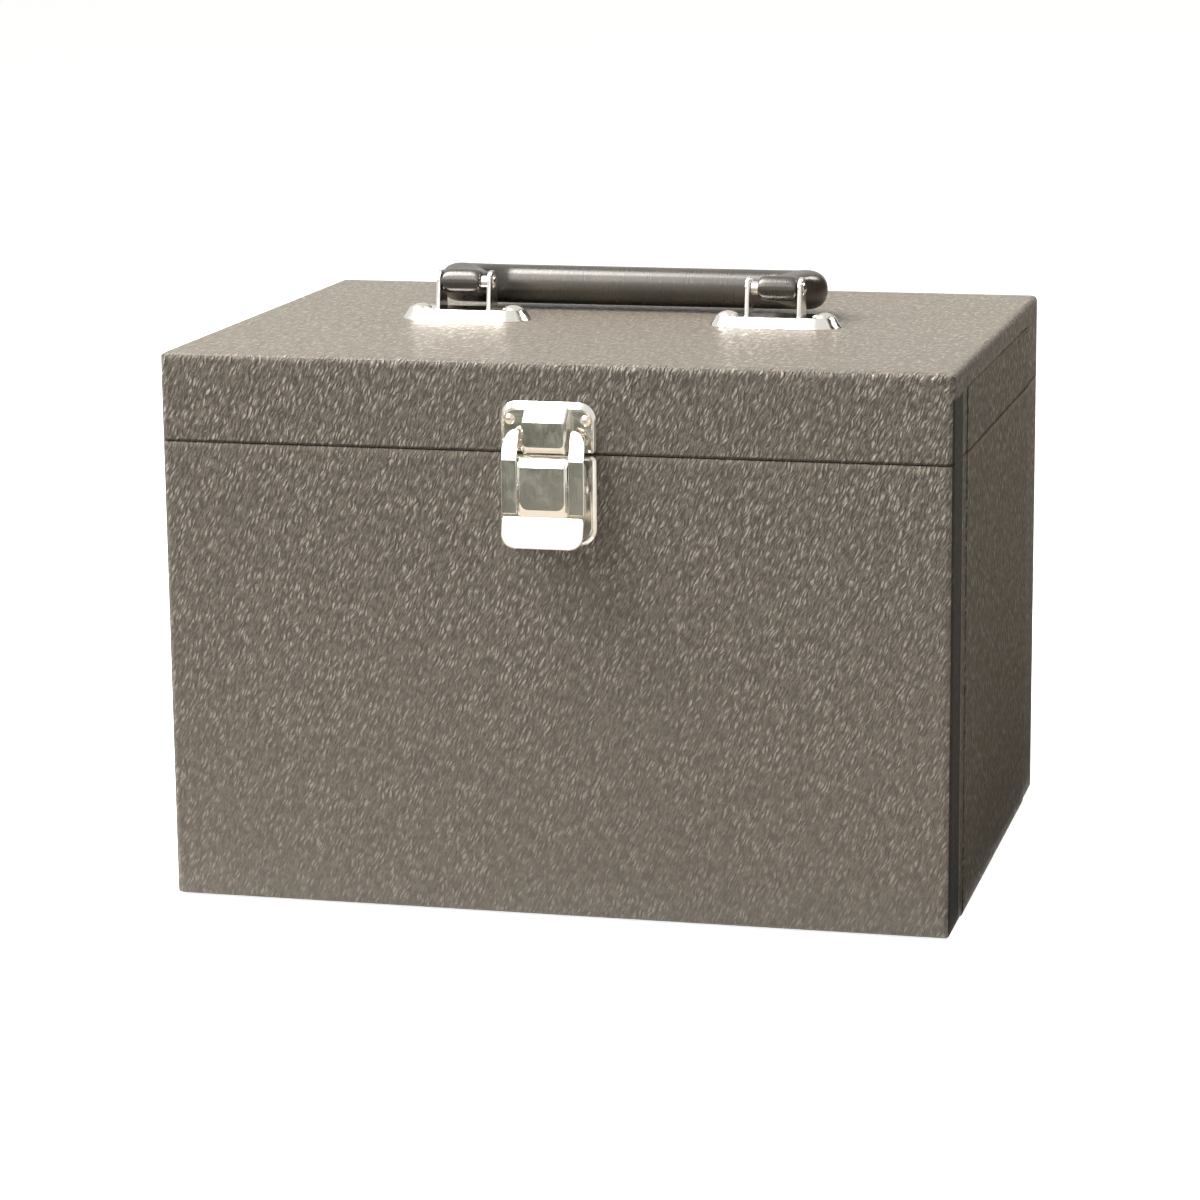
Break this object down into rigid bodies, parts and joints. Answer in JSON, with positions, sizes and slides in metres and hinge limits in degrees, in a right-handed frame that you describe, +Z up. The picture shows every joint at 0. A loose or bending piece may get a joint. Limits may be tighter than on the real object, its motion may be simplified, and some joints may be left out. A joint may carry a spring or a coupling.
{
  "type": "chalice case",
  "caption": "Leathercloth-covered wooden chalice case with hinged lid, front draw latch, folding carrying handle and a velvet-lined cradle for chalice and paten.",
  "frame": {"origin": "middle of the base, on the floor the case stands on", "axes": "+X to the right seen from the front, +Y to the hinges at the back, +Z up; the latch faces -Y"},
  "size_m": [0.306, 0.2479, 0.234],
  "materials": {
    "leathercloth": "pebbled, satin",
    "wood": "plain sawn plywood",
    "velvet_board": "short pile",
    "velvet_padding": "short pile over padding",
    "nickel": "polished nickel plate",
    "pin_steel": "polished nickel plate",
    "grip": "glossy, very dark brown"
  },
  "bodies": {
    "case": {"bottom_panel": "wood", "front_panel": "wood", "back_panel": "wood", "left_panel": "wood", "right_panel": "wood", "bottom_cover": "leathercloth", "front_cover": "leathercloth", "back_cover": "leathercloth", "left_cover": "leathercloth", "right_cover": "leathercloth", "front_liner": "velvet_board", "back_liner": "velvet_board", "left_liner": "velvet_board", "right_liner": "velvet_board", "foot_block": "velvet_padding", "stem_block": "velvet_padding", "cup_block": "velvet_padding", "paten_block": "velvet_padding", "latch_base": "nickel", "latch_rivets": "pin_steel", "lever_pin": "pin_steel", "left_hinge_body_leaf": "nickel", "right_hinge_body_leaf": "nickel", "left_hinge_pin": "pin_steel", "right_hinge_pin": "pin_steel", "hinge_body_rivets": "pin_steel"},
    "lid": {"lid_top_panel": "wood", "lid_front_rail": "wood", "lid_back_rail": "wood", "lid_left_rail": "wood", "lid_right_rail": "wood", "lid_cover": "leathercloth", "lid_left_cover": "leathercloth", "lid_right_cover": "leathercloth", "lid_front_liner": "velvet_board", "lid_back_liner": "velvet_board", "lid_left_liner": "velvet_board", "lid_right_liner": "velvet_board", "lid_pad": "velvet_padding", "keeper": "nickel", "keeper_rivets": "pin_steel", "left_handle_bracket": "nickel", "right_handle_bracket": "nickel", "bracket_rivets": "pin_steel", "left_handle_pin": "pin_steel", "right_handle_pin": "pin_steel", "left_hinge_lid_leaf": "nickel", "right_hinge_lid_leaf": "nickel", "hinge_lid_rivets": "pin_steel"},
    "lever": {"latch_lever": "nickel", "link_pin": "pin_steel"},
    "link": {"latch_link": "nickel"},
    "handle": {"handle_grip": "grip", "left_handle_bush": "pin_steel", "right_handle_bush": "pin_steel"}
  },
  "joints": [
    {"name": "lid_hinge", "type": "hinge", "parent": "case", "child": "lid", "pos_m": [0, 0.1167, 0.18], "axis": [-1, 0, 0], "range_deg": [0, 100]},
    {"name": "handle_swing", "type": "hinge", "parent": "lid", "child": "handle", "pos_m": [0, 0, 0.2289], "axis": [1, 0, 0], "range_deg": [0, 194]},
    {"name": "lever_pivot", "type": "hinge", "parent": "case", "child": "lever", "pos_m": [0, -0.1202, 0.1746], "axis": [-1, 0, 0], "range_deg": [0, 105]},
    {"name": "link_pivot", "type": "hinge", "parent": "lever", "child": "link", "pos_m": [0, -0.1186, 0.1678], "axis": [-1, 0, 0], "range_deg": [-105, 0]}
  ],
  "couplings": [
    {"joint": "link_pivot", "follows": "lever_pivot", "ratio": -1}
  ]
}
